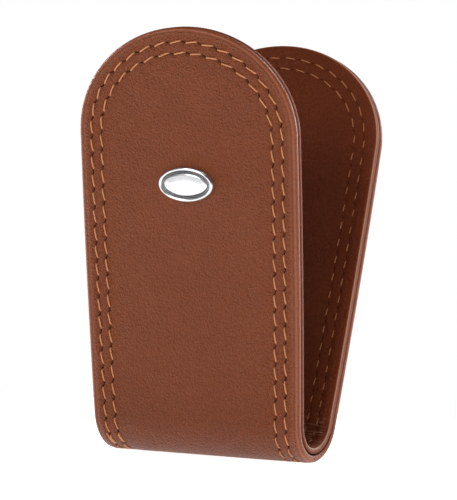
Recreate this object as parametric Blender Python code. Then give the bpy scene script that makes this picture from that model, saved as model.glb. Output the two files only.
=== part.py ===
"""Folded two-leaf leather money clip with turned edges, two stitch rows and hidden magnets.

The clip stands on its fold: X runs along the fold, Y from the front leaf (-Y) to the back
leaf (+Y), Z up, with the lowest line of the fold on z = 0. Each leather is drawn flat in the
pattern plane (x, s) and wrapped round the fold afterwards: s is the distance over the outer
face from the middle of the fold, and depth is measured from the outer face inwards.
"""
import math

import bmesh
import bpy
from mathutils import Matrix, Vector

MM = 0.001

# Outline of the pattern
WIDEST = 50.0 * MM              # width where the rounded heads begin
TAPER = 2.8 * MM                # how much narrower the middle of the fold is
LEAF_REACH = 93.5 * MM          # s of the tip
HEAD_RISE = 21.8 * MM           # length of the rounded head

# Fold
FOLD_RADIUS = 9.0 * MM          # outer face, middle of the fold
LEAN = math.radians(11.2)       # each leaf leans this far from upright at rest
TIP_CLEARANCE = 0.25 * MM       # each inner face to the middle plane when the clip is shut

# Leathers: a tray each, with a turned hem that makes the rim thicker than the face
FACE = 0.9 * MM
HEM = 7.2 * MM
SEAM = 0.1 * MM                 # between the two hems
EDGE_ROUND = 0.45 * MM
LAYER_GAP = 0.15 * MM           # between stacked layers
HINGE_GAP = 0.12 * MM           # between the fold's pieces and a leaf's, at the outer face

# Stitching
OUTER_ROW = 2.9 * MM            # edge to the first row
INNER_ROW = 5.2 * MM            # edge to the second row
GROOVE_HALF = 0.55 * MM
GROOVE_DEPTH = 0.6 * MM
THREAD_RADIUS = 0.18 * MM
THREAD_DEPTH = 0.2 * MM         # centre of the thread below the face

# Inner layers of a leaf
STIFFENER = 0.6 * MM
FOAM = 0.55 * MM
LAYER_CLEARANCE = 0.5 * MM      # stiffener and foam to the hem
LAYER_START = 4.0 * MM          # past the end of the bend
MAGNET_RADIUS = 6.0 * MM
MAGNET_SETBACK = 23.0 * MM      # tip to the magnet's centre
MAGNET_CLEARANCE = 0.3 * MM

# Badge on the front leaf
BADGE_SETBACK = 32.1 * MM       # tip to the badge's centre
BADGE_HALF_LENGTH = 6.4 * MM
BADGE_HALF_HEIGHT = 3.7 * MM
BADGE_THICKNESS = 0.9 * MM
BADGE_BEVEL = 0.35 * MM
PRONG_RADIUS = 0.5 * MM
PRONG_SPACING = 7.0 * MM
PRONG_CLEARANCE = 0.15 * MM
WASHER_RADIUS = 1.5 * MM
WASHER_THICKNESS = 0.3 * MM
PRONG_STAND = 0.1 * MM          # prong past its washer
DRILL_MARGIN = 0.5 * MM         # cutters past the layers that they cut

BEND_STEPS = 5                  # facets from the middle of the fold to the end of the bend
SIDE_STEPS = 3
HEAD_STEPS = 11                 # facets over a quarter of the head

# Worked out from the sizes above
WAIST = WIDEST - TAPER
HEAD_START = LEAF_REACH - HEAD_RISE
LAYERS = STIFFENER + FOAM + 3.0 * LAYER_GAP
THICKNESS = 2.0 * FACE + LAYERS
RIM = (THICKNESS - SEAM) / 2.0
BEND_ANGLE = math.pi / 2.0 - LEAN
BEND_END = FOLD_RADIUS * BEND_ANGLE
HINGE_ANGLE = BEND_ANGLE / 2.0
HINGE_S = BEND_END / 2.0
HINGE_Y = FOLD_RADIUS * math.sin(HINGE_ANGLE)
HINGE_Z = FOLD_RADIUS * (1.0 - math.cos(HINGE_ANGLE))


def half_width(s):
    """Half the pattern's width at s: a gentle taper to the waist, then half an ellipse."""
    reach = abs(s)
    if reach <= HEAD_START:
        swell = math.sin(math.pi / 2.0 * reach / HEAD_START)
        return (WAIST + (WIDEST - WAIST) * swell) / 2.0
    rise = min((reach - HEAD_START) / HEAD_RISE, 1.0)
    return WIDEST / 2.0 * math.sqrt(1.0 - rise * rise)


def side_stations():
    """Values of s for the outline's points on one side, from the fold's middle to the head."""
    bend = [BEND_END * i / BEND_STEPS for i in range(BEND_STEPS + 1)]
    step = (HEAD_START - BEND_END) / SIDE_STEPS
    return bend + [BEND_END + step * (i + 1) for i in range(SIDE_STEPS)]


def quarter_outline():
    """Points (x, s) of the edge from the fold's middle to the tip, on the +X side."""
    points = [(half_width(s), s) for s in side_stations()]
    for i in range(1, HEAD_STEPS):
        turn = math.pi / 2.0 * i / HEAD_STEPS
        points.append((WIDEST / 2.0 * math.cos(turn),
                       HEAD_START + HEAD_RISE * math.sin(turn)))
    points.append((0.0, LEAF_REACH))
    return points


def leaf_outline():
    """Points of one leaf's edge, +X side up, over the tip and down the -X side."""
    right = quarter_outline()
    return right + [(-x, s) for x, s in reversed(right[:-1])]


def whole_outline():
    """The closed edge of the whole pattern, counter-clockwise."""
    back = leaf_outline()
    front = [(-x, -s) for x, s in back[1:-1]]
    return back + front


def inset_outline(points, distance):
    """An open outline moved inwards, each point along its corner's bisector."""
    moved = []
    last = len(points) - 1
    for i, (x, s) in enumerate(points):
        before = Vector(points[max(i - 1, 0)])
        here = Vector((x, s))
        after = Vector(points[min(i + 1, last)])
        normals = []
        for start, end in ((before, here), (here, after)):
            run = end - start
            if run.length > 0.0:
                run.normalize()
                normals.append(Vector((-run.y, run.x)))
        bisector = sum(normals, Vector((0.0, 0.0))).normalized()
        spread = max(bisector.dot(normals[0]), 0.5)
        moved.append(tuple(here + bisector * (distance / spread)))
    return moved


def wrap(x, s, depth):
    """A point of the pattern, depth below the outer face, in the folded clip."""
    side = 1.0 if s >= 0.0 else -1.0
    reach = abs(s)
    radius = FOLD_RADIUS - depth
    angle = min(reach, BEND_END) / FOLD_RADIUS
    run = max(reach - BEND_END, 0.0)
    y = radius * math.sin(angle) + run * math.cos(angle)
    z = FOLD_RADIUS - radius * math.cos(angle) + run * math.sin(angle)
    return Vector((x, side * y, z))


def closing_angle():
    """How far each leaf turns from rest until its tip meets the middle plane."""
    tip = wrap(0.0, LEAF_REACH, THICKNESS)
    across = tip.y - HINGE_Y
    up = tip.z - HINGE_Z
    reach = math.hypot(across, up)
    return math.acos((TIP_CLEARANCE - HINGE_Y) / reach) - math.atan2(up, across)


def hinge_point(side):
    return Vector((0.0, side * HINGE_Y, HINGE_Z))


def leaf_matrix(side):
    """From a leaf's flat layers (x, s past the bend, depth below the face) to the clip."""
    origin = wrap(0.0, side * BEND_END, 0.0)
    along = Vector((0.0, side * math.cos(BEND_ANGLE), math.sin(BEND_ANGLE)))
    inward = Vector((0.0, -side * math.sin(BEND_ANGLE), math.cos(BEND_ANGLE)))
    across = along.cross(inward)
    turn = Matrix((across, along, inward)).transposed().to_4x4()
    return Matrix.Translation(origin) @ turn


def new_collection(name):
    collection = bpy.data.collections.new(name)
    bpy.context.scene.collection.children.link(collection)
    return collection


def material(name, colour, roughness, metallic=0.0):
    made = bpy.data.materials.new(name)
    made.use_nodes = True
    shader = made.node_tree.nodes["Principled BSDF"]
    shader.inputs["Base Color"].default_value = (*colour, 1.0)
    shader.inputs["Roughness"].default_value = roughness
    shader.inputs["Metallic"].default_value = metallic
    return made


def object_from(bm, name, collection, finish, parent=None):
    """Turn a bmesh in world coordinates into an object, with its origin on its parent."""
    bm.normal_update()
    bmesh.ops.recalc_face_normals(bm, faces=bm.faces)
    origin = parent.location.copy() if parent else Vector((0.0, 0.0, 0.0))
    bmesh.ops.translate(bm, vec=-origin, verts=bm.verts)
    mesh = bpy.data.meshes.new(name)
    bm.to_mesh(mesh)
    bm.free()
    mesh.shade_smooth()
    mesh.set_sharp_from_angle(angle=math.radians(35.0))
    made = bpy.data.objects.new(name, mesh)
    made.data.materials.append(finish)
    made.parent = parent
    if parent is None:
        made.location = origin
    collection.objects.link(made)
    return made


def leather_pattern():
    """The closed flat tray of one leather: face at z = 0, hem down to RIM, hollow behind."""
    bm = bmesh.new()
    corners = [bm.verts.new((x, s, EDGE_ROUND)) for x, s in whole_outline()]
    face = bm.faces.new(corners)
    edges = list(face.edges)
    skirt = bmesh.ops.extrude_edge_only(bm, edges=edges)["geom"]
    low = [v for v in skirt if isinstance(v, bmesh.types.BMVert)]
    for vert in low:
        vert.co.z = RIM - EDGE_ROUND
    rim_edges = [e for e in skirt if isinstance(e, bmesh.types.BMEdge)
                 and all(v in low for v in e.verts)]
    hem = bmesh.ops.contextual_create(bm, geom=rim_edges)["faces"][0]

    def ring(region, width, rise):
        """Inset the middle face, then move it to the next level of the section."""
        bmesh.ops.inset_region(bm, faces=[region], thickness=width, use_even_offset=True)
        for vert in region.verts:
            vert.co.z += rise

    ring(face, EDGE_ROUND, -EDGE_ROUND)
    done = EDGE_ROUND
    for row in (OUTER_ROW, INNER_ROW):
        ring(face, row - GROOVE_HALF - done, 0.0)
        ring(face, GROOVE_HALF, GROOVE_DEPTH)
        ring(face, GROOVE_HALF, -GROOVE_DEPTH)
        done = row + GROOVE_HALF

    ring(hem, EDGE_ROUND, EDGE_ROUND)
    ring(hem, HEM - EDGE_ROUND, 0.0)
    walls = bmesh.ops.extrude_face_region(bm, geom=[hem])["geom"]
    for vert in (v for v in walls if isinstance(v, bmesh.types.BMVert)):
        vert.co.z = FACE
    bmesh.ops.delete(bm, geom=[hem], context="FACES_ONLY")
    bmesh.ops.recalc_face_normals(bm, faces=bm.faces)
    return bm


def cut_away(bm, point, normal):
    """Cut with a plane, drop what lies on the side that normal points to, and close the cut."""
    whole = bm.verts[:] + bm.edges[:] + bm.faces[:]
    cut = bmesh.ops.bisect_plane(bm, geom=whole, plane_co=point, plane_no=normal, clear_outer=True)
    rim = [e for e in cut["geom_cut"] if isinstance(e, bmesh.types.BMEdge)]
    bmesh.ops.edgeloop_fill(bm, edges=rim)


def wrapped_leather(is_lining):
    """One whole leather, cut across at the facets of the bend and wrapped round the fold."""
    bm = leather_pattern()
    for i in range(-BEND_STEPS, BEND_STEPS + 1):
        station = BEND_END * i / BEND_STEPS
        whole = bm.verts[:] + bm.edges[:] + bm.faces[:]
        bmesh.ops.bisect_plane(bm, geom=whole, plane_co=(0.0, station, 0.0),
                               plane_no=(0.0, 1.0, 0.0), dist=MM * 1e-4)
    for vert in bm.verts:
        x, s, z = vert.co
        depth = THICKNESS - z if is_lining else z
        vert.co = wrap(x, s, depth)
    bm.normal_update()
    return bm


def fold_cut(side):
    """Plane through a hinge line, square to the leather, on the fold's side of the slit."""
    along = Vector((0.0, side * math.cos(HINGE_ANGLE), math.sin(HINGE_ANGLE)))
    return hinge_point(side) - along * HINGE_GAP / 2.0, along


def leaf_cut(side):
    """Plane on the leaf's side of the slit, turned so that it meets the other when shut."""
    angle = HINGE_ANGLE - closing_angle()
    square = Vector((0.0, side * math.cos(angle), math.sin(angle)))
    along = Vector((0.0, side * math.cos(HINGE_ANGLE), math.sin(HINGE_ANGLE)))
    return hinge_point(side) + along * HINGE_GAP / 2.0, -square


def leather_pieces(name, is_lining, finish, collection, parents):
    """Front leaf, fold and back leaf of one leather."""
    for suffix, side, parent in (("front", -1.0, parents["front"]),
                                 ("back", 1.0, parents["back"])):
        bm = wrapped_leather(is_lining)
        cut_away(bm, Vector((0.0, 0.0, 0.0)), Vector((0.0, -side, 0.0)))
        cut_away(bm, *leaf_cut(side))
        object_from(bm, name + "_" + suffix, collection, finish, parent)
    bm = wrapped_leather(is_lining)
    for side in (-1.0, 1.0):
        cut_away(bm, *fold_cut(side))
    object_from(bm, name + "_fold", collection, finish)


def thread(name, route, finish, collection, parent=None):
    """A round thread along a list of (x, s, depth)."""
    curve = bpy.data.curves.new(name, "CURVE")
    curve.dimensions = "3D"
    curve.bevel_depth = THREAD_RADIUS
    curve.bevel_resolution = 1
    curve.use_fill_caps = True
    spline = curve.splines.new("POLY")
    spline.points.add(len(route) - 1)
    origin = parent.location if parent else Vector((0.0, 0.0, 0.0))
    for point, (x, s, depth) in zip(spline.points, route):
        point.co = (*(wrap(x, s, depth) - origin), 1.0)
    made = bpy.data.objects.new(name, curve)
    curve.materials.append(finish)
    made.parent = parent
    collection.objects.link(made)


def point_at(outline, s):
    """Where an outline's +X side crosses s."""
    for (x0, s0), (x1, s1) in zip(outline, outline[1:]):
        if s0 <= s <= s1:
            return (x0 + (x1 - x0) * (s - s0) / (s1 - s0), s)
    return outline[0]


def slit_end(depth):
    """s where a leaf's thread starts at this depth, clear of the slit at every angle."""
    opening = HINGE_GAP + depth * math.tan(closing_angle()) + THREAD_RADIUS
    return HINGE_S + opening * FOLD_RADIUS / (FOLD_RADIUS - depth)


def thread_rows(finish, collection, parents):
    """Two rows through both leathers: needle thread outside, bobbin thread inside."""
    faces = (("needle", THREAD_DEPTH), ("bobbin", THICKNESS - THREAD_DEPTH))
    for row, distance in (("outer_row", OUTER_ROW), ("inner_row", INNER_ROW)):
        edge = inset_outline(leaf_outline(), distance)
        half = len(edge) // 2
        for kind, depth in faces:
            start = point_at(edge[:half], slit_end(depth))
            up = [start] + [p for p in edge[:half + 1] if p[1] > start[1] + THREAD_RADIUS]
            loop = up + [(-x, s) for x, s in reversed(up[:-1])]
            for suffix, side in (("front", -1.0), ("back", 1.0)):
                route = [(x, side * s, depth) for x, s in loop]
                thread(f"{kind}_{row}_{suffix}", route, finish, collection, parents[suffix])
            end = point_at(edge[:half], HINGE_S - HINGE_GAP - THREAD_RADIUS)
            rise = [p for p in edge[:half] if 0.0 <= p[1] < end[1] - THREAD_RADIUS] + [end]
            across = [(x, -s) for x, s in reversed(rise[1:])] + rise
            for suffix, side in (("left", -1.0), ("right", 1.0)):
                route = [(side * x, s, depth) for x, s in across]
                thread(f"{kind}_{row}_fold_{suffix}", route, finish, collection)


def layer_outline():
    """Edge of a leaf's stiffener and foam, in (x, s past the bend)."""
    inner = inset_outline(leaf_outline(), HEM + LAYER_CLEARANCE)
    half = len(inner) // 2
    start = point_at(inner[:half], BEND_END + LAYER_START)
    up = [start] + [p for p in inner[:half + 1] if p[1] > start[1]]
    loop = up + [(-x, s) for x, s in reversed(up[:-1])]
    return [(x, s - BEND_END) for x, s in loop]


def flat_layer(name, depth, thickness, finish, collection, parent, side):
    """A board or pad: the layer's outline, filled and extruded."""
    bm = bmesh.new()
    face = bm.faces.new([bm.verts.new((x, s, depth)) for x, s in layer_outline()])
    grown = bmesh.ops.extrude_face_region(bm, geom=[face])["geom"]
    moved = [v for v in grown if isinstance(v, bmesh.types.BMVert)]
    bmesh.ops.translate(bm, vec=(0.0, 0.0, thickness), verts=moved)
    bm.transform(leaf_matrix(side))
    return object_from(bm, name, collection, finish, parent)


def disc(name, centre_s, centre_x, depth, thickness, radius, finish, collection, parent, side,
         segments=32):
    """A round piece lying in a leaf's layers."""
    bm = bmesh.new()
    middle = Matrix.Translation((centre_x, centre_s - BEND_END, depth + thickness / 2.0))
    bmesh.ops.create_cone(bm, cap_ends=True, segments=segments, radius1=radius, radius2=radius,
                          depth=thickness, matrix=middle)
    bm.transform(leaf_matrix(side))
    return object_from(bm, name, collection, finish, parent)


def drill(target, cutter):
    """Subtract a cutter, which stays in the scene as a wire guide."""
    cutter.hide_render = True
    cutter.display_type = "WIRE"
    cut = target.modifiers.new("hole for " + cutter.name, "BOOLEAN")
    cut.operation = "DIFFERENCE"
    cut.object = cutter


def prong_places():
    return [(-PRONG_SPACING / 2.0, "left"), (PRONG_SPACING / 2.0, "right")]


def badge(finish, collection, parent):
    """A plain domed oval with two prongs behind it, as one piece."""
    bm = bmesh.new()
    segments = 48
    ring = [(BADGE_HALF_LENGTH * math.cos(2.0 * math.pi * i / segments),
             BADGE_HALF_HEIGHT * math.sin(2.0 * math.pi * i / segments))
            for i in range(segments)]
    back = -LAYER_GAP
    face = bm.faces.new([bm.verts.new((x, y, back)) for x, y in ring])
    grown = bmesh.ops.extrude_face_region(bm, geom=[face])["geom"]
    for vert in (v for v in grown if isinstance(v, bmesh.types.BMVert)):
        vert.co.z = back - (BADGE_THICKNESS - BADGE_BEVEL)
    top = [f for f in grown if isinstance(f, bmesh.types.BMFace)][0]
    bmesh.ops.inset_region(bm, faces=[top], thickness=BADGE_BEVEL, use_even_offset=True)
    for vert in top.verts:
        vert.co.z = back - BADGE_THICKNESS
    place = Matrix.Translation((0.0, LEAF_REACH - BADGE_SETBACK - BEND_END, 0.0))
    bm.transform(leaf_matrix(-1.0) @ place)
    return object_from(bm, "badge", collection, finish, parent)


def leaf_layers(suffix, side, finishes, collection, cutters, parent):
    """Stiffener, foam pad and magnet between a leaf's two leathers."""
    board_depth = FACE + LAYER_GAP
    foam_depth = board_depth + STIFFENER + LAYER_GAP
    board = flat_layer("stiffener_" + suffix, board_depth, STIFFENER, finishes["board"],
                       collection, parent, side)
    foam = flat_layer("foam_pad_" + suffix, foam_depth, FOAM, finishes["foam"],
                      collection, parent, side)
    magnet_s = LEAF_REACH - MAGNET_SETBACK
    stack = STIFFENER + LAYER_GAP + FOAM
    disc("magnet_" + suffix, magnet_s, 0.0, board_depth, stack, MAGNET_RADIUS,
         finishes["magnet"], collection, parent, side)
    hole = disc("magnet_hole_" + suffix, magnet_s, 0.0, board_depth - DRILL_MARGIN,
                stack + 2.0 * DRILL_MARGIN, MAGNET_RADIUS + MAGNET_CLEARANCE,
                finishes["magnet"], cutters, parent, side)
    for layer in (board, foam):
        drill(layer, hole)
    return board, foam


def badge_fixings(board, foam, finishes, collection, cutters, parent):
    """The badge, the washers on its prongs, and the holes that the prongs pass through."""
    plate = badge(finishes["nickel"], collection, parent)
    centre_s = LEAF_REACH - BADGE_SETBACK
    washer_depth = FACE + LAYER_GAP + STIFFENER + LAYER_GAP
    prong_end = washer_depth + WASHER_THICKNESS + PRONG_STAND
    prong_top = -LAYER_GAP - BADGE_THICKNESS / 2.0
    leather = bpy.data.objects["outer_leather_front"]
    for across, name in prong_places():
        prong = disc("prong_" + name, centre_s, across, prong_top, prong_end - prong_top,
                     PRONG_RADIUS, finishes["nickel"], cutters, parent, -1.0, 16)
        join = plate.modifiers.new("prong " + name, "BOOLEAN")
        join.operation = "UNION"
        join.object = prong
        prong.hide_render = True
        prong.display_type = "WIRE"
        bore = disc("prong_hole_" + name, centre_s, across, -DRILL_MARGIN,
                    washer_depth + DRILL_MARGIN, PRONG_RADIUS + PRONG_CLEARANCE, finishes["nickel"], cutters, parent,
                    -1.0, 16)
        drill(leather, bore)
        drill(board, bore)
        washer = disc("badge_washer_" + name, centre_s, across, washer_depth,
                      WASHER_THICKNESS, WASHER_RADIUS, finishes["nickel"], collection, parent,
                      -1.0, 24)
        eye = disc("washer_eye_" + name, centre_s, across, washer_depth - DRILL_MARGIN,
                   WASHER_THICKNESS + 2.0 * DRILL_MARGIN, PRONG_RADIUS + PRONG_CLEARANCE, finishes["nickel"],
                   cutters, parent, -1.0, 16)
        drill(washer, eye)
        well = disc("washer_well_" + name, centre_s, across, washer_depth - DRILL_MARGIN,
                    FOAM + 2.0 * DRILL_MARGIN, WASHER_RADIUS + MAGNET_CLEARANCE,
                    finishes["foam"], cutters, parent, -1.0, 24)
        drill(foam, well)


def fold_interlining(finish, collection):
    """The bonded-fibre strip that springs the fold, between the two faces of the fold."""
    depth = FACE + LAYER_GAP
    thickness = THICKNESS - 2.0 * (FACE + LAYER_GAP)
    end = HINGE_S - HINGE_GAP * 2.0
    half = WAIST / 2.0 - HEM - LAYER_CLEARANCE
    stations = [end * i / BEND_STEPS for i in range(-BEND_STEPS, BEND_STEPS + 1)]
    bm = bmesh.new()
    levels = [(s, depth) for s in stations]
    levels += [(s, depth + thickness) for s in reversed(stations)]
    face = bm.faces.new([bm.verts.new(wrap(-half, s, level)) for s, level in levels])
    grown = bmesh.ops.extrude_face_region(bm, geom=[face])["geom"]
    moved = [v for v in grown if isinstance(v, bmesh.types.BMVert)]
    bmesh.ops.translate(bm, vec=(2.0 * half, 0.0, 0.0), verts=moved)
    object_from(bm, "interlining_fold", collection, finish)


def leaf_axis(name, side):
    """The empty on a leaf's hinge line, which the leaf's pieces hang on."""
    axis = bpy.data.objects.new(name, None)
    axis.location = hinge_point(side)
    axis.empty_display_size = 5.0 * MM
    bpy.context.scene.collection.objects.link(axis)
    return axis


def build():
    for existing in list(bpy.data.objects):
        bpy.data.objects.remove(existing, do_unlink=True)
    collection = new_collection("leather_money_clip")
    cutters = new_collection("cutters")
    cutters.hide_render = True
    finishes = {
        "leather": material("saddle_leather", (0.21, 0.066, 0.032), 0.45),
        "lining": material("lining_leather", (0.15, 0.045, 0.022), 0.55),
        "thread": material("tan_thread", (0.42, 0.17, 0.06), 0.6),
        "board": material("fibre_board", (0.35, 0.27, 0.18), 0.85),
        "foam": material("foam", (0.08, 0.08, 0.08), 0.95),
        "magnet": material("nickel_magnet", (0.6, 0.6, 0.62), 0.3, 1.0),
        "nickel": material("polished_nickel", (0.75, 0.75, 0.76), 0.18, 1.0),
    }
    parents = {"front": leaf_axis("front_leaf_axis", -1.0),
               "back": leaf_axis("back_leaf_axis", 1.0)}
    leather_pieces("outer_leather", False, finishes["leather"], collection, parents)
    leather_pieces("lining", True, finishes["lining"], collection, parents)
    leaf_layers("back", 1.0, finishes, collection, cutters, parents["back"])
    board, foam = leaf_layers("front", -1.0, finishes, collection, cutters, parents["front"])
    badge_fixings(board, foam, finishes, collection, cutters, parents["front"])
    fold_interlining(finishes["board"], collection)
    thread_rows(finishes["thread"], collection, parents)


build()
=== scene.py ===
import math

import bmesh
import bpy
import numpy as np
from mathutils import Matrix, Vector, noise


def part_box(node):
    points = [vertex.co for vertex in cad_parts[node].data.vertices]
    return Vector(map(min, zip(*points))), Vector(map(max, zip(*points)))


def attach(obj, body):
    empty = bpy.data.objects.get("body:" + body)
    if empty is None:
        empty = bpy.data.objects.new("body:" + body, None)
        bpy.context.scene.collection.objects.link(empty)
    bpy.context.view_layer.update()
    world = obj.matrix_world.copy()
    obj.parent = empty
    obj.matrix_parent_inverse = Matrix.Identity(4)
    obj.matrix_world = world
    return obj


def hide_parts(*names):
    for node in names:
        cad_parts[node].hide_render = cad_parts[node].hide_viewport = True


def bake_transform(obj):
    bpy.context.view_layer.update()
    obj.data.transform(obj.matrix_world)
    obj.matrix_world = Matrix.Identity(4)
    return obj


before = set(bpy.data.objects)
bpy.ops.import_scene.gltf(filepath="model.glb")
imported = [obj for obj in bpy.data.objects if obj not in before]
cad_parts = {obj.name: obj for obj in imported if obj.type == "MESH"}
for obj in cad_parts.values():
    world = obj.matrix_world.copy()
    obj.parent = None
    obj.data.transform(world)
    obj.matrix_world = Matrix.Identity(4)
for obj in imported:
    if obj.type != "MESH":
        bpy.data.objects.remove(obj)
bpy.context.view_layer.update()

# Looks of the folded leather money clip. Each leather and each thread row is made in two halves
# that meet in the middle of the fold.
# The pattern plane is (x, s), with s over the outer face from the middle of the fold, positive
# on the back leaf, and depth is measured from the outer face inwards.

MM = 0.001

# Sizes that the CAD model is built to
WIDEST = 50.0 * MM
TAPER = 2.8 * MM
LEAF_REACH = 93.5 * MM
HEAD_RISE = 21.8 * MM
HEAD_START = LEAF_REACH - HEAD_RISE
FOLD_RADIUS = 9.0 * MM
LEAN = math.radians(11.2)
THICKNESS = 3.4 * MM
BEND_ANGLE = math.pi / 2.0 - LEAN
BEND_END = FOLD_RADIUS * BEND_ANGLE
OUTER_ROW = 2.9 * MM
INNER_ROW = 5.2 * MM
BADGE_S = LEAF_REACH - 32.1 * MM

# Section of a leather
HEM_THICKNESS = 1.66 * MM
HEM_WIDTH = 7.2 * MM
FACE_THICKNESS = 0.9 * MM
OUTER_RIDGE = 0.075 * MM        # height of the ridges beside the stitch rows
LINING_RIDGE = 0.05 * MM
RIDGE_WIDTH = 0.6 * MM
OUTER_PUFF = 0.13 * MM          # rise of the padded field inside the inner row
LINING_PUFF = 0.03 * MM
CHANNEL_WIDTH = 0.36 * MM       # of the groove that each stitch row lies in
CHANNEL_DEPTH = 1.5             # ridge heights
OUTER_SLIT_DEPTH = 0.55 * MM
LINING_SLIT_DEPTH = 0.20 * MM
WRINKLE_LENGTH = 0.95           # mm, over the inside of the fold
WRINKLE_HEIGHT = 0.12 * MM
SEAM_OPENING = 0.10 * MM        # of each hem, round the bottom of the fold
TRUE_INSET = 8.0 * MM           # further in, the rings close onto the middle line
MIDDLE_INSET = 24.0 * MM        # the inset that stands for the middle line
MIDDLE_END = 64.0 * MM

# Density of the leather meshes
BEND_STEP = 0.2 * MM
SIDE_STEP = 0.42 * MM
HEAD_COLUMNS = 84

# Stitching
OUTER_STITCHES = 56             # in each half of a row
INNER_STITCHES = 54
INNER_PHASE = 0.25              # of a stitch, by which the inner row runs ahead
SLIT_LEAN = 0.42                # sideways run of the needle slits for each length along the row
NEEDLE_LEAN = 0.25 * MM         # sideways shift of a stitch's ends
BOBBIN_LEAN = 0.11 * MM
NEEDLE_THREAD = 0.155 * MM      # radius
BOBBIN_THREAD = 0.10 * MM
NEEDLE_GAP = 0.50 * MM          # from a stitch's end to the middle of its needle slit
BOBBIN_GAP = 0.95 * MM
BOBBIN_GAP_ON_HEAD = 0.45 * MM
THREAD_DIVE = 0.5 * MM          # depth of a stitch's ends below the face
PLY_LENGTH = 1.1 * MM
THREAD_SIDES = 12
THREAD_RINGS = 17
# Where sewing began and ended, the last stitches are gone over twice, a little beside the row:
# (place in stitches along the row, half length, sideways shift)
BACK_TACK = {
    "outer_row": ((54.04, 0.62 * MM, -0.46 * MM), (54.5, 1.45 * MM, -0.26 * MM),
                  (54.45, 1.40 * MM, 0.20 * MM)),
    "inner_row": ((52.5, 1.40 * MM, 0.24 * MM), (53.5, 1.40 * MM, -0.20 * MM)),
}

# Badge
BADGE_HALF_HEIGHT = 3.7 * MM
BADGE_RISE = 0.15 * MM          # of the plate's back above the leather
BADGE_SEGMENTS = 96
BEAD_INSET = 1.13 * MM
BEAD_LEVEL = 0.46 * MM
BEAD_RADIUS = 0.12 * MM
BEAD_COUNT = 64
PRONG_PLACE = 3.5 * MM          # from the badge's middle
PRONG_RADIUS = 0.5 * MM
PRONG_LENGTH = 2.2 * MM
PRONG_DEPTH = 0.9 * MM          # of a prong's middle below the leather's face

# Stage and light
FLOOR_RADIUS = 0.6
LIGHT_TARGET = 45.0 * MM        # height
LIGHT_DISTANCE = 0.9
LIGHTS = (                      # name, azimuth, elevation, size, power in watts
    ("key", -20.0, 28.0, 0.35, 2.9),
    ("side", 104.0, 20.0, 0.35, 2.7),
    ("hair", 155.0, 48.0, 0.3, 3.5),
    ("rim", -108.0, 15.0, 0.35, 3.5),
    ("top", 60.0, 80.0, 0.35, 1.5),
    ("back", 166.0, 14.0, 0.3, 1.8),
)

# Camera
CAMERA_TARGET = 48.0 * MM       # height
CAMERA_DISTANCE = 0.87027
CAMERA_LENS = 301.29            # mm, on a sensor 36 mm wide


def smooth(low, high, value):
    """0 below low, 1 above high, and a smooth rise between them."""
    t = np.clip((value - low) / (high - low), 0.0, 1.0)
    return t * t * (3.0 - 2.0 * t)


def bell(value, centre, width):
    """1 at the centre, falling off smoothly to each side."""
    return np.exp(-((value - centre) / width) ** 2)


# ---------------------------------------------------------------- pattern

def edge_curve():
    """Half the pattern's edge as rows x, s, inward x, inward s: +X side up, over, and down."""
    bend = np.arange(0.0, BEND_END, BEND_STEP)
    side = np.arange(BEND_END, HEAD_START - SIDE_STEP / 2.0, SIDE_STEP)
    s = np.concatenate([bend, side])
    quarter = math.pi / 2.0 / HEAD_START
    x = (WIDEST - TAPER + TAPER * np.sin(quarter * s)) / 2.0
    run_x = TAPER / 2.0 * quarter * np.cos(quarter * s) * np.clip(s / BEND_END, 0.0, 1.0)
    run_s = np.ones_like(s)
    turn = np.linspace(0.0, math.pi / 2.0, HEAD_COLUMNS)
    x = np.concatenate([x, WIDEST / 2.0 * np.cos(turn)])
    s = np.concatenate([s, HEAD_START + HEAD_RISE * np.sin(turn)])
    run_x = np.concatenate([run_x, -WIDEST / 2.0 * np.sin(turn)])
    run_s = np.concatenate([run_s, HEAD_RISE * np.cos(turn)])
    length = np.hypot(run_x, run_s)
    right = np.stack([x, s, -run_s / length, run_x / length])
    left = right[:, -2::-1] * np.array([[-1.0], [1.0], [-1.0], [1.0]])
    return np.concatenate([right, left], axis=1)


EDGE = edge_curve()


def inset_ring(inset):
    """The edge curve moved inwards. Past TRUE_INSET it closes onto the middle line."""
    x, s, in_x, in_s = EDGE
    true = min(inset, TRUE_INSET)
    ring_x, ring_s = x + true * in_x, s + true * in_s
    share = max(inset - TRUE_INSET, 0.0) / (MIDDLE_INSET - TRUE_INSET)
    ring_x = ring_x * (1.0 - share)
    ring_s = ring_s + share * (np.minimum(ring_s, MIDDLE_END) - ring_s)
    return ring_x, ring_s


def row_length(inset):
    """Distance along an inset ring at each of its points."""
    x, s = inset_ring(inset)
    steps = np.hypot(np.diff(x), np.diff(s))
    return np.concatenate([[0.0], np.cumsum(steps)])


ROWS = (
    {"inset": OUTER_ROW, "along": row_length(OUTER_ROW), "stitches": OUTER_STITCHES, "phase": 0.0},
    {"inset": INNER_ROW, "along": row_length(INNER_ROW), "stitches": INNER_STITCHES,
     "phase": INNER_PHASE},
)
for row in ROWS:
    row["pitch"] = row["along"][-1] / row["stitches"]
    row["turns"] = row["along"] / row["pitch"] + row["phase"]


def wrap(x, s, depth):
    """Points of the pattern in the folded clip, as an (n, 3) array."""
    side = np.where(s >= 0.0, 1.0, -1.0)
    reach = np.abs(s)
    radius = FOLD_RADIUS - depth
    angle = np.minimum(reach, BEND_END) / FOLD_RADIUS
    run = np.maximum(reach - BEND_END, 0.0)
    y = radius * np.sin(angle) + run * np.cos(angle)
    z = FOLD_RADIUS - radius * np.cos(angle) + run * np.sin(angle)
    return np.stack([x, side * y, z], axis=-1)


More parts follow.
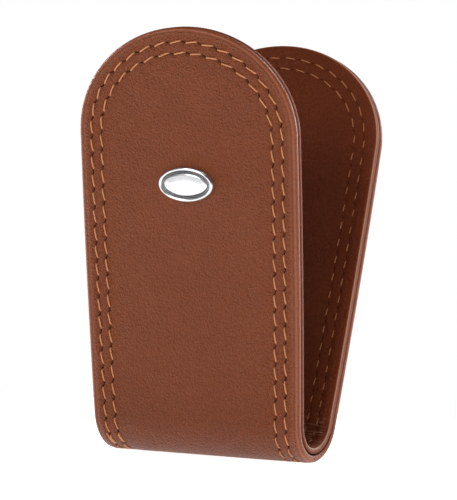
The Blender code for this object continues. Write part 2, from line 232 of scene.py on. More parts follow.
def leaf_matrix(side):
    """From a leaf's own plane (x, s past the bend, depth) to the folded clip."""
    origin = Vector(wrap(np.array(0.0), np.array(side * BEND_END), np.array(0.0)))
    along = Vector((0.0, side * math.cos(BEND_ANGLE), math.sin(BEND_ANGLE)))
    inward = Vector((0.0, -side * math.sin(BEND_ANGLE), math.cos(BEND_ANGLE)))
    across = along.cross(inward)
    turn = Matrix((across, along, inward)).transposed().to_4x4()
    return Matrix.Translation(origin) @ turn


def bend_with(piece):
    """Bakes the piece's placement into its mesh."""
    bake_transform(piece)


HALVES = (("front", -1.0, "front_leaf"), ("back", 1.0, "back_leaf"))


# ---------------------------------------------------------------- node helpers

class Nodes:
    """A short way to write a material's node tree."""

    def __init__(self, name):
        self.material = bpy.data.materials.new(name)
        self.material.use_nodes = True
        self.tree = self.material.node_tree
        self.shader = self.tree.nodes["Principled BSDF"]

    def add(self, kind, **values):
        node = self.tree.nodes.new(kind)
        for key, value in values.items():
            setattr(node, key, value)
        return node

    def link(self, value, socket):
        """Put a number, colour or another node's output into a socket."""
        if isinstance(value, bpy.types.NodeSocket):
            self.tree.links.new(value, socket)
        else:
            socket.default_value = value

    def math(self, operation, first, second=0.0, third=0.0):
        node = self.add("ShaderNodeMath", operation=operation)
        for value, socket in zip((first, second, third), node.inputs):
            self.link(value, socket)
        return node.outputs[0]

    def remap(self, value, low, high, to_low=0.0, to_high=1.0):
        """A smooth step from one value to another."""
        node = self.add("ShaderNodeMapRange", interpolation_type="SMOOTHSTEP")
        for item, socket in zip((value, low, high, to_low, to_high), node.inputs):
            self.link(item, socket)
        return node.outputs[0]

    def mix(self, factor, first, second):
        node = self.add("ShaderNodeMix", data_type="RGBA")
        self.link(factor, node.inputs["Factor"])
        self.link(first, node.inputs["A"])
        self.link(second, node.inputs["B"])
        return node.outputs["Result"]

    def attribute(self, name):
        return self.add("ShaderNodeAttribute", attribute_name=name).outputs["Vector"]

    def split(self, vector):
        """The three parts of a vector."""
        node = self.add("ShaderNodeSeparateXYZ")
        self.link(vector, node.inputs[0])
        return node.outputs

    def noise(self, vector, scale, detail=2.0, roughness=0.5):
        node = self.add("ShaderNodeTexNoise")
        self.link(vector, node.inputs["Vector"])
        node.inputs["Scale"].default_value = scale
        node.inputs["Detail"].default_value = detail
        node.inputs["Roughness"].default_value = roughness
        return node.outputs["Fac"]

    def cells(self, vector, scale):
        node = self.add("ShaderNodeTexVoronoi", feature="F1")
        self.link(vector, node.inputs["Vector"])
        node.inputs["Scale"].default_value = scale
        return node.outputs["Distance"]

    def bump(self, height, strength, distance, normal=None):
        node = self.add("ShaderNodeBump")
        node.inputs["Strength"].default_value = strength
        node.inputs["Distance"].default_value = distance
        self.link(height, node.inputs["Height"])
        if normal is not None:
            self.link(normal, node.inputs["Normal"])
        return node.outputs["Normal"]

    def set(self, **values):
        """Set the shader's sockets, and give the finished material."""
        for name, value in values.items():
            self.link(value, self.shader.inputs[name.replace("_", " ")])
        return self.material


# ---------------------------------------------------------------- materials

SLIT_SOFTNESS = 0.12            # mm, across the slits
SLIT_END_SOFTNESS = 0.2
WANDER_SCALE = 1.3              # texture scales are for each mm of the pattern
WANDER_REACH = 0.9              # mm
PEBBLE_SCALE = 1.8
FINE_SCALE = 2.6
FINE_SHARE = 1.7                # height of the fine grain for each height of the pebbles
PUCKER_HEIGHT = 0.10 * MM
# Colour of the painted shade in the creases and at the seam
CREASE_SHADE_COLOUR = (0.055, 0.014, 0.006, 1.0)
# Colour of the painted shade in the needle slits
SLIT_SHADE_COLOUR = (0.060, 0.009, 0.001, 1.0)
SHEEN_TINT = (1.0, 0.82, 0.77, 1.0)


def needle_slits(nodes, stitching, half_width, half_length):
    """1 inside the slanted needle slits of both rows, from the stitching attribute, which holds
    the place in stitches along each row and the inset in mm."""
    outer, inner, inset = nodes.split(stitching)
    masks = []
    for row, turns in zip(ROWS, (outer, inner)):
        phase = nodes.math("SUBTRACT", nodes.math("FRACT", nodes.math("ADD", turns, 0.5)), 0.5)
        along = nodes.math("MULTIPLY", phase, row["pitch"] / MM)
        across = nodes.math("SUBTRACT", inset, row["inset"] / MM)
        leaned = nodes.math("MULTIPLY_ADD", along, SLIT_LEAN, across)
        thin = nodes.remap(nodes.math("ABSOLUTE", leaned), half_width,
                           half_width + SLIT_SOFTNESS, 1.0, 0.0)
        short = nodes.remap(nodes.math("ABSOLUTE", along), half_length,
                            half_length + SLIT_END_SOFTNESS, 1.0, 0.0)
        masks.append(nodes.math("MULTIPLY", thin, short))
    return nodes.math("MAXIMUM", *masks)


def leather_grain(nodes, pattern):
    """Heights of the pebbles, with wandering outlines, and of the fine grain on them."""
    wander = nodes.add("ShaderNodeTexNoise")
    nodes.link(pattern, wander.inputs["Vector"])
    wander.inputs["Scale"].default_value = WANDER_SCALE
    shifted = nodes.add("ShaderNodeVectorMath", operation="MULTIPLY_ADD")
    nodes.link(wander.outputs["Color"], shifted.inputs[0])
    shifted.inputs[1].default_value = (WANDER_REACH, WANDER_REACH, WANDER_REACH)
    nodes.link(pattern, shifted.inputs[2])
    pebbles = nodes.cells(shifted.outputs[0], PEBBLE_SCALE)
    fine = nodes.noise(pattern, FINE_SCALE, 3.0, 0.7)
    return pebbles, fine


def leather_material(name, base, dark, worn_highlight, roughness, gloss, sheen, slit, grain_height):
    """Smooth full-grain leather: pebbled grain, even colour, painted shade in the needle slits and
    creases, and a painted highlight, partly real burnish, on the edges and wrinkle crests. Its
    burnish and light attribute holds the edge highlight, the shade in the creases and wrinkle
    crests."""
    nodes = Nodes(name)
    pattern = nodes.attribute("pattern")
    stitching = nodes.attribute("stitching")
    slits = needle_slits(nodes, stitching, *slit)
    _, _, inset = nodes.split(stitching)
    rubbed_highlight, shade_in_creases, crest = nodes.split(nodes.attribute("wear_and_light"))
    cloud = nodes.noise(pattern, 0.09, 3.0, 0.5)
    mottle = nodes.noise(pattern, 0.8, 3.0, 0.6)
    pebbles, fine = leather_grain(nodes, pattern)

    colour = nodes.mix(nodes.remap(cloud, 0.35, 0.7, 0.0, 0.5), base, dark)
    colour = nodes.mix(nodes.remap(mottle, 0.45, 0.8, 0.0, 0.3), colour, dark)
    deep = tuple(0.72 * c for c in dark[:3]) + (1.0,)
    colour = nodes.mix(nodes.remap(pebbles, 0.32, 0.72, 0.0, 0.42), colour, deep)
    # Painted highlight, partly real burnish: the edges are lightened along the lines where a
    # highlight falls on their corners.
    colour = nodes.mix(nodes.math("MULTIPLY", rubbed_highlight, 0.55), colour, worn_highlight)
    # Painted highlight: the crests of the wrinkles in the fold take the same light colour as the
    # edges.
    colour = nodes.mix(nodes.math("MULTIPLY", crest, 0.45), colour, worn_highlight)
    # Painted shade: darker in the creases by the edge and where the leather tucks into the seam.
    colour = nodes.mix(nodes.math("MULTIPLY", shade_in_creases, 0.55), colour, CREASE_SHADE_COLOUR)
    # Painted shade: the needle slits are darkened for the shade in the holes.
    colour = nodes.mix(nodes.math("MULTIPLY", slits, 0.97), colour, SLIT_SHADE_COLOUR)

    # The grain is stretched flat where the leather turns over its edge
    grain = nodes.math("MULTIPLY_ADD", pebbles, -1.0, nodes.math("MULTIPLY", fine, FINE_SHARE))
    grain = nodes.math("MULTIPLY", grain, nodes.remap(inset, 0.3, 1.6, 0.18, 1.0))
    normal = nodes.bump(grain, 1.0, grain_height)
    normal = nodes.bump(nodes.noise(pattern, 0.45, 3.0), 0.3, PUCKER_HEIGHT, normal)

    rough = nodes.remap(mottle, 0.3, 0.75, roughness - 0.04, roughness + 0.05)
    rough = nodes.math("SUBTRACT", rough, nodes.math("MULTIPLY", rubbed_highlight, 0.12))
    rough = nodes.math("ADD", rough, nodes.math("MULTIPLY", slits, 0.5))
    return nodes.set(Base_Color=colour, Roughness=rough, Normal=normal, Specular_IOR_Level=gloss,
                     Sheen_Weight=sheen, Sheen_Roughness=0.25, Sheen_Tint=SHEEN_TINT)


def thread_material(name, shaded, lit):
    """Waxed polyester thread, with painted shade towards its buried ends and between the plies,
    and a painted highlight on the crests of the plies.
    """
    nodes = Nodes(name)
    ply, buried, batch = nodes.split(nodes.attribute("twist"))
    # Painted light: shaded between the plies and lit on their crests.
    colour = nodes.mix(nodes.remap(ply, 0.1, 0.9), shaded, lit)
    colour = nodes.mix(nodes.math("MULTIPLY", batch, 0.35), colour, (0.36, 0.13, 0.055, 1.0))
    # Painted shade where the stitch's ends dive into the slits.
    colour = nodes.mix(nodes.math("MULTIPLY", buried, 0.75), colour, (0.07, 0.02, 0.008, 1.0))
    fibre = nodes.noise(nodes.add("ShaderNodeTexCoord").outputs["Object"], 9000.0, 2.0)
    normal = nodes.bump(fibre, 0.3, 0.02 * MM)
    return nodes.set(Base_Color=colour, Roughness=0.5, Normal=normal, Sheen_Weight=0.3,
                     Sheen_Roughness=0.4, Sheen_Tint=(1.0, 0.85, 0.7, 1.0))


def metal_material(name, colour, roughness):
    """Metal with faint smears."""
    nodes = Nodes(name)
    place = nodes.add("ShaderNodeTexCoord").outputs["Object"]
    smear = nodes.noise(place, 420.0, 4.0, 0.6)
    fine = nodes.noise(place, 5200.0, 2.0)
    rough = nodes.remap(smear, 0.35, 0.7, roughness, roughness + 0.12)
    tint = nodes.mix(nodes.remap(smear, 0.45, 0.75, 0.0, 0.35), colour,
                     tuple(0.78 * c for c in colour[:3]) + (1.0,))
    return nodes.set(Base_Color=tint, Metallic=1.0, Roughness=rough,
                     Normal=nodes.bump(fine, 0.12, 0.01 * MM))


def board_material(name, base, flecks, roughness):
    """Fibrous board or foam, for the hidden layers."""
    nodes = Nodes(name)
    place = nodes.add("ShaderNodeTexCoord").outputs["Object"]
    fibre = nodes.noise(place, 1400.0, 5.0, 0.7)
    pits = nodes.cells(place, 2600.0)
    colour = nodes.mix(nodes.remap(fibre, 0.4, 0.7), base, flecks)
    return nodes.set(Base_Color=colour, Roughness=roughness,
                     Normal=nodes.bump(pits, 0.5, 0.05 * MM))


LEATHER = leather_material(
    "saddle_leather", base=(0.206, 0.048, 0.0122, 1.0), dark=(0.180, 0.039, 0.0096, 1.0),
    worn_highlight=(0.40, 0.17, 0.10, 1.0), roughness=0.33, gloss=0.22, sheen=0.12, slit=(0.07, 0.46),
    grain_height=0.31 * MM)
# Painted shade: the lining is the same leather as the outside, its colour made darker and redder
# for the shade inside the clip.
LINING = leather_material(
    "lining_leather", base=(0.150, 0.029, 0.0065, 1.0), dark=(0.120, 0.022, 0.0045, 1.0),
    worn_highlight=(0.50, 0.26, 0.185, 1.0), roughness=0.46, gloss=0.11, sheen=0.0, slit=(0.03, 0.22),
    grain_height=0.20 * MM)
NEEDLE_FINISH = thread_material("tan_thread", (0.28, 0.10, 0.036, 1.0),
                                (0.61, 0.245, 0.096, 1.0))
# Painted shade: the bobbin thread inside the clip is the tan thread made darker and more orange
# for the shade there.
BOBBIN_FINISH = thread_material("shaded_tan_thread", (0.25, 0.07, 0.018, 1.0),
                                (0.52, 0.175, 0.05, 1.0))
NICKEL = metal_material("polished_nickel", (0.70, 0.70, 0.71, 1.0), 0.13)
RECESS = metal_material("blackened_nickel", (0.035, 0.035, 0.037, 1.0), 0.40)


# ---------------------------------------------------------------- leathers

# A turned edge as (inset, depth below the face) in mm, from the seam round to the face. The
# outer leather bulges at its side and has a light bead inside its corner.
OUTER_EDGE = ((0.34, 1.65), (0.20, 1.62), (0.09, 1.54), (0.02, 1.38), (-0.02, 1.15),
              (-0.04, 0.92), (-0.035, 0.74), (0.00, 0.56), (0.07, 0.42), (0.14, 0.345),
              (0.20, 0.30), (0.28, 0.22), (0.40, 0.135), (0.54, 0.09), (0.68, 0.085),
              (0.80, 0.10), (0.88, 0.09), (1.00, 0.045), (1.15, 0.00), (1.35, -0.03))
LINING_EDGE = ((0.34, 1.65), (0.22, 1.63), (0.13, 1.58), (0.07, 1.48), (0.05, 1.30),
               (0.03, 1.10), (0.03, 0.90), (0.05, 0.74), (0.09, 0.60), (0.15, 0.49),
               (0.23, 0.40), (0.34, 0.32), (0.48, 0.25), (0.66, 0.18), (0.88, 0.12),
               (1.12, 0.07), (1.38, 0.03))


def face_depth(inset, ridge, puff):
    """Depth of a leather's visible face inside its edge: stitch channels and padded field."""
    depth = -puff * smooth(5.6 * MM, 9.0 * MM, inset)
    for middle in (1.85 * MM, 4.05 * MM):
        depth -= ridge * bell(inset, middle, RIDGE_WIDTH)
    for row_inset in (OUTER_ROW, INNER_ROW):
        depth += CHANNEL_DEPTH * ridge * bell(inset, row_inset, CHANNEL_WIDTH)
    return depth


def section(is_lining):
    """Rings of one leather from its hidden middle, under the hem and round the edge, to its
    visible middle: (inset, depth below its own face, whether the ring shows)."""
    ridge, puff = (LINING_RIDGE, LINING_PUFF) if is_lining else (OUTER_RIDGE, OUTER_PUFF)
    rings = [(MIDDLE_INSET, FACE_THICKNESS, False), (12.0 * MM, FACE_THICKNESS, False),
             (HEM_WIDTH + 0.1 * MM, FACE_THICKNESS, False), (HEM_WIDTH, HEM_THICKNESS, False),
             (3.0 * MM, HEM_THICKNESS, False), (1.2 * MM, HEM_THICKNESS, False),
             (0.6 * MM, HEM_THICKNESS, False)]
    for inset, level in LINING_EDGE if is_lining else OUTER_EDGE:
        rings.append((inset * MM, level * MM, level < 1.2))
    shown = np.concatenate([np.linspace(1.55, 2.4, 5), np.linspace(2.5, 3.3, 9),
                            np.linspace(3.5, 4.7, 6), np.linspace(4.8, 5.6, 9),
                            np.linspace(5.85, 8.0, 6), np.linspace(8.8, MIDDLE_INSET / MM, 20)])
    rings += [(float(d), float(face_depth(d, ridge, puff)), True) for d in shown * MM]
    return rings


def slit_depth(inset, deepest):
    """How far the needle slits of both rows pull the face down, at each column of a ring."""
    depth = np.zeros(EDGE.shape[1])
    for row in ROWS:
        along = (row["turns"] - np.round(row["turns"])) * row["pitch"]
        leaned = inset - row["inset"] + SLIT_LEAN * along
        depth += deepest * bell(leaned, 0.0, 0.17 * MM) * bell(along, 0.0, 0.55 * MM)
    return depth


def unevenness(x, s, seed):
    """Slow waves of hand-glued leather over board, at each point of a ring."""
    broad = [noise.noise(Vector((a / MM * 0.045, b / MM * 0.03, seed))) for a, b in zip(x, s)]
    close = [noise.noise(Vector((a / MM * 0.16, b / MM * 0.12, seed + 9.0))) for a, b in zip(x, s)]
    return 0.09 * MM * np.array(broad) + 0.025 * MM * np.array(close)


def fold_wrinkles(x, s, seed):
    """Heights, up to about 1, of the creases across the inside of the fold, where the lining
    is squeezed."""
    near = 1.0 - smooth(9.0 * MM, 17.0 * MM, np.abs(s))
    height = []
    for a, b in zip(x / MM, s / MM):
        drift = 1.3 * noise.noise(Vector((a * 0.16, b * 0.2, seed)))
        strength = 0.7 + 1.9 * noise.noise(Vector((a * 0.38, b * 0.7, seed + 4.0)))
        wave = math.sin(2.0 * math.pi * (b / WRINKLE_LENGTH + drift))
        height.append(max(strength, 0.0) * (wave ** 3 if wave > 0.0 else 0.4 * wave))
    return near * np.array(height)


def edge_wear_and_light(inset, level, shown, is_lining):
    """How far one ring gets its painted highlight, partly real burnish, and its painted shade in
    the creases.
    """
    if not shown:
        # Painted shade where the hidden leather tucks into the seam.
        return 0.0, float(smooth(1.42 * MM, 1.62 * MM, level))
    # Painted highlight, partly real burnish, along the corners of the turned edge.
    if is_lining:
        rub_highlight = 1.6 * bell(inset, 0.16 * MM, 0.08 * MM)
    else:
        rub_highlight = 0.55 * bell(inset, 0.42 * MM, 0.2 * MM) + 0.3 * bell(inset, 1.3 * MM, 0.25 * MM)
    # Painted shade in the creases by the edge.
    crease_shade = 0.4 * bell(inset, 0.84 * MM, 0.1 * MM) + 0.4 * bell(inset, 0.12 * MM, 0.05 * MM)
    return rub_highlight, crease_shade


def ring_depth(inset, level, shown, is_lining, x, s, seed):
    """Depth of one ring's points below their own face, and the crests of the wrinkles there."""
    depth = np.full_like(x, level)
    crest = np.zeros_like(x)
    if shown:
        reveal = float(smooth(0.3 * MM, 1.6 * MM, inset))
        depth = depth + slit_depth(inset, LINING_SLIT_DEPTH if is_lining else OUTER_SLIT_DEPTH)
        depth = depth + reveal * unevenness(x, s, seed)
        if is_lining:
            crest = reveal * fold_wrinkles(x, s, seed)
            depth = depth - WRINKLE_HEIGHT * crest
    else:
        tuck = float(smooth(0.9 * MM, 1.5 * MM, level) * (1.0 - smooth(1.0 * MM, 3.0 * MM, inset)))
        seam_open = SEAM_OPENING * (1.0 - smooth(BEND_END * 0.5, BEND_END * 1.3, EDGE[1]))
        depth = depth - seam_open * tuck
    return depth, crest


def leather_half(name, side, is_lining, finish, replaced):
    """One leather over one leaf and half the fold, as a closed shell. The back half is the
    front one turned about Z."""
    rings = section(is_lining)
    seed = 31.0 if is_lining else 7.0
    turns = [row["turns"] for row in ROWS]
    points, patterns, stitching, wear_and_light = [], [], [], []
    for inset, level, shown in rings:
        x, s = inset_ring(inset)
        x, s = -side * x, side * s
        depth, crest = ring_depth(inset, level, shown, is_lining, x, s, seed)
        rub_highlight, crease_shade = edge_wear_and_light(inset, level, shown, is_lining)
        points.append(wrap(x, s, THICKNESS - depth if is_lining else depth))
        patterns.append(np.stack([x / MM, s / MM, np.full_like(x, seed)], axis=-1))
        stitching.append(np.stack([*turns, np.full_like(x, inset / MM)], axis=-1))
        # Burnish and painted light: the edge highlight, the shade in the creases and the wrinkle
        # crest.
        wear_and_light.append(np.stack([np.full_like(x, rub_highlight), np.full_like(x, crease_shade),
                              np.maximum(crest, 0.0)], axis=-1))
    columns, count = EDGE.shape[1], len(rings)
    index = np.arange(columns * count).reshape(count, columns)
    quads = np.stack([index[:-1, :-1], index[:-1, 1:], index[1:, 1:], index[1:, :-1]], axis=-1)
    faces = quads.reshape(-1, 4).tolist()
    faces.append(index[:, 0].tolist() + index[::-1, -1].tolist()[1:-1])
    mesh = bpy.data.meshes.new(name)
    mesh.from_pydata(np.concatenate(points).tolist(), [], faces)
    for key, rows in (("pattern", patterns), ("stitching", stitching), ("wear_and_light", wear_and_light)):
        add_vectors(mesh, key, rows)
    finish_mesh(mesh, name, finish, replaced, 50.0)


def add_vectors(mesh, name, rows):
    """Give the mesh's points an attribute that the materials read."""
    layer = mesh.attributes.new(name, "FLOAT_VECTOR", "POINT")
    layer.data.foreach_set("vector", np.concatenate(rows).astype(np.float32).ravel())


def finish_mesh(mesh, name, finish, replaced, sharp_angle):
    """Weld, turn the faces outwards, shade, and bake the piece's placement into its mesh."""
    bm = bmesh.new()
    bm.from_mesh(mesh)
    bmesh.ops.remove_doubles(bm, verts=bm.verts, dist=0.0005 * MM)
    bmesh.ops.recalc_face_normals(bm, faces=bm.faces)
    bm.to_mesh(mesh)
    bm.free()
    mesh.shade_smooth()
    mesh.set_sharp_from_angle(angle=math.radians(sharp_angle))
    piece = bpy.data.objects.new(name, mesh)
    bpy.context.scene.collection.objects.link(piece)
    mesh.materials.append(finish)
    bend_with(piece)
    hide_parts(*replaced)


for half, side, leaf in HALVES:
    shared = ["outer_leather_fold"] if half == "front" else []
    leather_half("leather_shell_" + half, side, False, LEATHER,
                 ["outer_leather_" + half] + shared)
    shared = ["lining_fold"] if half == "front" else []
    leather_half("lining_shell_" + half, side, True, LINING,
                 ["lining_" + half] + shared)


# ---------------------------------------------------------------- stitches

def row_point(row, along, aside):
    """Pattern points at distances along a row, moved aside inwards. Before the row's start it
    runs straight on over the middle of the fold."""
    x, s = inset_ring(row["inset"])
    base_x = np.interp(along, row["along"], x)
    base_s = np.interp(along, row["along"], s) + np.minimum(along, 0.0)
    in_x = np.interp(along, row["along"], EDGE[2])
    in_s = np.interp(along, row["along"], EDGE[3])
    length = np.hypot(in_x, in_s)
    return base_x + aside * in_x / length, base_s + aside * in_s / length


def stitch_tube(row, centre, half_length, inside, side, vary, aside):
    """Points and twist values of one slanted stitch, its ends diving into the needle slits."""
    thread = BOBBIN_THREAD if inside else NEEDLE_THREAD
    reach = np.linspace(-1.0, 1.0, THREAD_RINGS)
    along = centre + reach * half_length
    lean = (BOBBIN_LEAN if inside else NEEDLE_LEAN) * reach * (1.0 + 0.3 * vary) + aside
    x, s = row_point(row, along, lean)
    arch = 1.0 - np.abs(reach) ** 6.0
    high = 0.02 * MM if inside else -0.05 * MM - 0.03 * MM * vary
    level = THREAD_DIVE + (high - THREAD_DIVE) * arch
    depth = THICKNESS - level if inside else level
    line = wrap(-side * x, side * s, depth)
    forward = np.gradient(line, axis=0)
    forward /= np.linalg.norm(forward, axis=1)[:, None]
    lifted = depth + thread if inside else depth - thread
    up = wrap(-side * x, side * s, lifted) - line
    up -= forward * np.sum(up * forward, axis=1)[:, None]
    up /= np.linalg.norm(up, axis=1)[:, None]
    across = np.cross(forward, up)
    turn = np.linspace(0.0, 2.0 * math.pi, THREAD_SIDES, endpoint=False)
    phase = 2.0 * math.pi * along / PLY_LENGTH
    ply = np.abs(np.cos(1.5 * turn[None, :] - phase[:, None]))
    radius = thread * (0.80 + 0.26 * ply)
    points = (line[:, None, :]
              + up[:, None, :] * (0.88 * radius * np.cos(turn))[..., None]
              + across[:, None, :] * (1.08 * radius * np.sin(turn))[..., None])
    # How far the painted shade at the stitch's buried ends reaches.
    buried = np.repeat(smooth(0.80, 0.98, np.abs(reach))[:, None], THREAD_SIDES, axis=1)
    twist = np.stack([ply, buried, np.full_like(ply, 0.5 + 0.5 * vary)], axis=-1)
    return points.reshape(-1, 3), twist.reshape(-1, 3)


def tube_faces(first):
    """Faces of one stitch, closed at both ends, whose points start at an index."""
    faces = []
    for ring in range(THREAD_RINGS - 1):
        for i in range(THREAD_SIDES):
            a = first + ring * THREAD_SIDES + i
            b = first + ring * THREAD_SIDES + (i + 1) % THREAD_SIDES
            faces.append((a, b, b + THREAD_SIDES, a + THREAD_SIDES))
    faces.append(tuple(first + i for i in reversed(range(THREAD_SIDES))))
    last = first + (THREAD_RINGS - 1) * THREAD_SIDES
    faces.append(tuple(last + i for i in range(THREAD_SIDES)))
    return faces


def stitch_row(name, row, inside, side, replaced, doubled):
    """All stitches of half a row, on one side of the leathers, and the doubled ones beside
    them."""
    stitches = []
    for k in range(row["stitches"]):
        vary = noise.noise(Vector((k * 1.7, row["inset"] / MM, 3.0 * side + inside)))
        centre = (k + 0.5 - row["phase"]) * row["pitch"]
        reached = row_point(row, centre, 0.0)[1]
        on_head = float(smooth(HEAD_START, HEAD_START + 8.0 * MM, reached))
        gap = NEEDLE_GAP
        if inside:
            gap = BOBBIN_GAP + (BOBBIN_GAP_ON_HEAD - BOBBIN_GAP) * on_head
        stitches.append((centre, row["pitch"] / 2.0 - gap, vary, 0.0))
    for place, half_length, aside in doubled:
        stitches.append(((place - row["phase"]) * row["pitch"], half_length, 0.4, aside))
    points, twists, faces = [], [], []
    for centre, half_length, vary, aside in stitches:
        tube, twist = stitch_tube(row, centre, half_length, inside, side, vary, aside)
        faces += tube_faces(len(points) * len(tube))
        points.append(tube)
        twists.append(twist)
    mesh = bpy.data.meshes.new(name)
    mesh.from_pydata(np.concatenate(points).tolist(), [], faces)
    add_vectors(mesh, "twist", twists)
    finish = BOBBIN_FINISH if inside else NEEDLE_FINISH
    finish_mesh(mesh, name, finish, replaced, 80.0)


for half, side, leaf in HALVES:
    for row, row_name in zip(ROWS, ("outer_row", "inner_row")):
        for inside, kind in ((False, "needle"), (True, "bobbin")):
            stem = kind + "_" + row_name
            shared = [stem + "_fold_left", stem + "_fold_right"] if half == "front" else []
            doubled = BACK_TACK[row_name] if half == "front" and not inside else ()
            stitch_row(kind + "_stitches_" + row_name + "_" + half, row, inside, side,
                       [stem + "_" + half] + shared, doubled)


# ---------------------------------------------------------------- badge

# From the badge's rim to its middle: (inset, height above the back) in mm, and whether the ring
# lies in the blackened groove
BADGE_PROFILE = (
    (0.0, 0.0, False), (0.04, 0.28, False), (0.14, 0.56, False), (0.30, 0.78, False),
    (0.48, 0.86, False), (0.66, 0.82, False), (0.80, 0.66, False), (0.86, 0.48, True),
    (0.92, 0.40, True), (1.34, 0.40, True), (1.42, 0.50, True), (1.50, 0.66, False),
    (1.66, 0.74, False), (1.90, 0.78, False), (2.3, 0.85, False), (2.8, 0.92, False),
    (3.2, 0.96, False), (3.5, 0.97, False),
)


def oval_point(half_length, inset, turn, level):
    """A point on the badge's oval, moved inwards, at a height above its back."""
    return Vector(((half_length - inset) * math.cos(turn),
                   (BADGE_HALF_HEIGHT - inset) * math.sin(turn), -BADGE_RISE - level))


def badge_plate(bm, half_length):
    """The domed plate with its raised rim and blackened groove, closed behind."""
    turns = [2.0 * math.pi * i / BADGE_SEGMENTS for i in range(BADGE_SEGMENTS)]
    rings = [[bm.verts.new(oval_point(half_length, inset * MM, turn, level * MM))
              for turn in turns] for inset, level, _ in BADGE_PROFILE]
    for step, (ring, inner) in enumerate(zip(rings, rings[1:])):
        in_groove = BADGE_PROFILE[step][2] and BADGE_PROFILE[step + 1][2]
        for i in range(BADGE_SEGMENTS):
            j = (i + 1) % BADGE_SEGMENTS
            face = bm.faces.new((ring[i], ring[j], inner[j], inner[i]))
            face.material_index = 1 if in_groove else 0
    bm.faces.new(rings[-1])
    bm.faces.new(list(reversed(rings[0])))


def badge_piece():
    """Plain domed oval with a raised rim, a beaded line inside it, and two prongs behind."""
    low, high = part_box("badge")
    half_length = (high.x - low.x) / 2.0
    bm = bmesh.new()
    badge_plate(bm, half_length)
    for across in (-PRONG_PLACE, PRONG_PLACE):
        place = Matrix.Translation((across, 0.0, PRONG_DEPTH))
        bmesh.ops.create_cone(bm, cap_ends=True, segments=24, radius1=PRONG_RADIUS,
                              radius2=PRONG_RADIUS, depth=PRONG_LENGTH, matrix=place)
    for i in range(BEAD_COUNT):
        spot = oval_point(half_length, BEAD_INSET, 2.0 * math.pi * i / BEAD_COUNT, BEAD_LEVEL)
        bmesh.ops.create_uvsphere(bm, u_segments=10, v_segments=6, radius=BEAD_RADIUS,
                                  matrix=Matrix.Translation(spot))
    bm.transform(leaf_matrix(-1.0) @ Matrix.Translation((0.0, BADGE_S - BEND_END, 0.0)))
    bm.normal_update()
    bmesh.ops.recalc_face_normals(bm, faces=bm.faces)
    mesh = bpy.data.meshes.new("oval_badge")
    bm.to_mesh(mesh)
    bm.free()
    mesh.shade_smooth()
    mesh.set_sharp_from_angle(angle=math.radians(38.0))
    piece = bpy.data.objects.new("oval_badge", mesh)
    bpy.context.scene.collection.objects.link(piece)
    mesh.materials.append(NICKEL)
    mesh.materials.append(RECESS)
    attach(piece, "front_leaf")
    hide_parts("badge")


badge_piece()


# ---------------------------------------------------------------- hidden layers

HIDDEN = (
    ("stiffener", board_material("leatherboard", (0.42, 0.33, 0.22, 1.0),
                                 (0.27, 0.19, 0.11, 1.0), 0.85)),
    ("interlining", board_material("bonded_fibre", (0.50, 0.42, 0.31, 1.0),
                                   (0.33, 0.25, 0.17, 1.0), 0.9)),
    ("foam_pad", board_material("padding_foam", (0.09, 0.09, 0.095, 1.0),
                                (0.05, 0.05, 0.055, 1.0), 0.95)),
    ("magnet", metal_material("magnet_nickel", (0.66, 0.65, 0.62, 1.0), 0.2)),
    ("badge_washer", metal_material("washer_steel", (0.62, 0.62, 0.63, 1.0), 0.28)),
)
for node_name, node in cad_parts.items():
    for stem, finish in HIDDEN:
        if node_name.startswith(stem):
            node.data.materials.clear()
            node.data.materials.append(finish)


# ---------------------------------------------------------------- stage, light and camera

def stage_floor():
    """A round white floor that glows a little, so that it meets the background unseen."""
    bm = bmesh.new()
    bmesh.ops.create_circle(bm, cap_ends=True, segments=96, radius=FLOOR_RADIUS)
    mesh = bpy.data.meshes.new("floor")
    bm.to_mesh(mesh)
    bm.free()
    floor = bpy.data.objects.new("floor", mesh)
    bpy.context.scene.collection.objects.link(floor)
    nodes = Nodes("pale_floor")
    mesh.materials.append(nodes.set(Base_Color=(0.93, 0.93, 0.93, 1.0), Roughness=0.6,
                                    Specular_IOR_Level=0.2, Emission_Strength=0.8,
                                    Emission_Color=(1.0, 1.0, 1.0, 1.0)))


def direction(azimuth, elevation):
    """From the clip outwards. Azimuth 0 faces the front leaf, and 90 its right side."""
    a, e = math.radians(azimuth), math.radians(elevation)
    return Vector((math.sin(a) * math.cos(e), -math.cos(a) * math.cos(e), math.sin(e)))


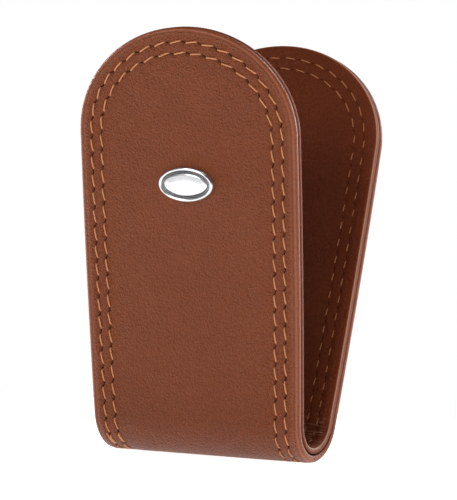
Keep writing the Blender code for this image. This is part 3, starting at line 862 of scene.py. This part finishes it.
def area_light(name, azimuth, elevation, size, power):
    """A soft light at an azimuth and elevation round the clip, aimed at its middle."""
    data = bpy.data.lights.new(name, "AREA")
    data.shape = "DISK"
    data.size = size
    data.energy = power
    lamp = bpy.data.objects.new(name, data)
    back = direction(azimuth, elevation)
    lamp.location = Vector((0.0, 0.0, LIGHT_TARGET)) + back * LIGHT_DISTANCE
    lamp.rotation_euler = back.to_track_quat("Z", "Y").to_euler()
    bpy.context.scene.collection.objects.link(lamp)


def studio():
    """White round the horizon and a dimmer ceiling, with soft boxes over and beside the clip."""
    world = bpy.data.worlds.new("studio")
    world.use_nodes = True
    tree = world.node_tree
    background = tree.nodes["Background"]
    place = tree.nodes.new("ShaderNodeTexCoord")
    split = tree.nodes.new("ShaderNodeSeparateXYZ")
    ramp = tree.nodes.new("ShaderNodeMapRange")
    ramp.interpolation_type = "SMOOTHSTEP"
    tree.links.new(place.outputs["Generated"], split.inputs[0])
    tree.links.new(split.outputs["Z"], ramp.inputs["Value"])
    bounds = {"From Min": 0.10, "From Max": 0.22, "To Min": 1.0, "To Max": 0.06}
    for socket, value in bounds.items():
        ramp.inputs[socket].default_value = value
    tree.links.new(ramp.outputs[0], background.inputs["Strength"])
    background.inputs["Color"].default_value = (1.0, 1.0, 1.0, 1.0)
    bpy.context.scene.world = world
    for light in LIGHTS:
        area_light(*light)


def long_lens():
    """A long lens to the right of the front leaf, a little above the table, slightly rolled."""
    yaw, pitch, roll = math.radians(0.0469), math.radians(-0.3427), math.radians(3.607)
    back = direction(27.892, -1.491)
    turn = (back.to_track_quat("Z", "Y").to_matrix() @ Matrix.Rotation(-yaw, 3, "Y")
            @ Matrix.Rotation(pitch, 3, "X") @ Matrix.Rotation(roll, 3, "Z"))
    data = bpy.data.cameras.new("camera")
    data.lens = CAMERA_LENS
    data.sensor_width = 36.0
    data.clip_start = 0.05
    camera = bpy.data.objects.new("camera", data)
    place = Vector((0.0, 0.0, CAMERA_TARGET)) + back * CAMERA_DISTANCE
    camera.matrix_world = Matrix.Translation(place) @ turn.to_4x4()
    bpy.context.scene.collection.objects.link(camera)
    bpy.context.scene.camera = camera


stage_floor()
studio()
long_lens()
bpy.context.scene.view_settings.view_transform = "Standard"
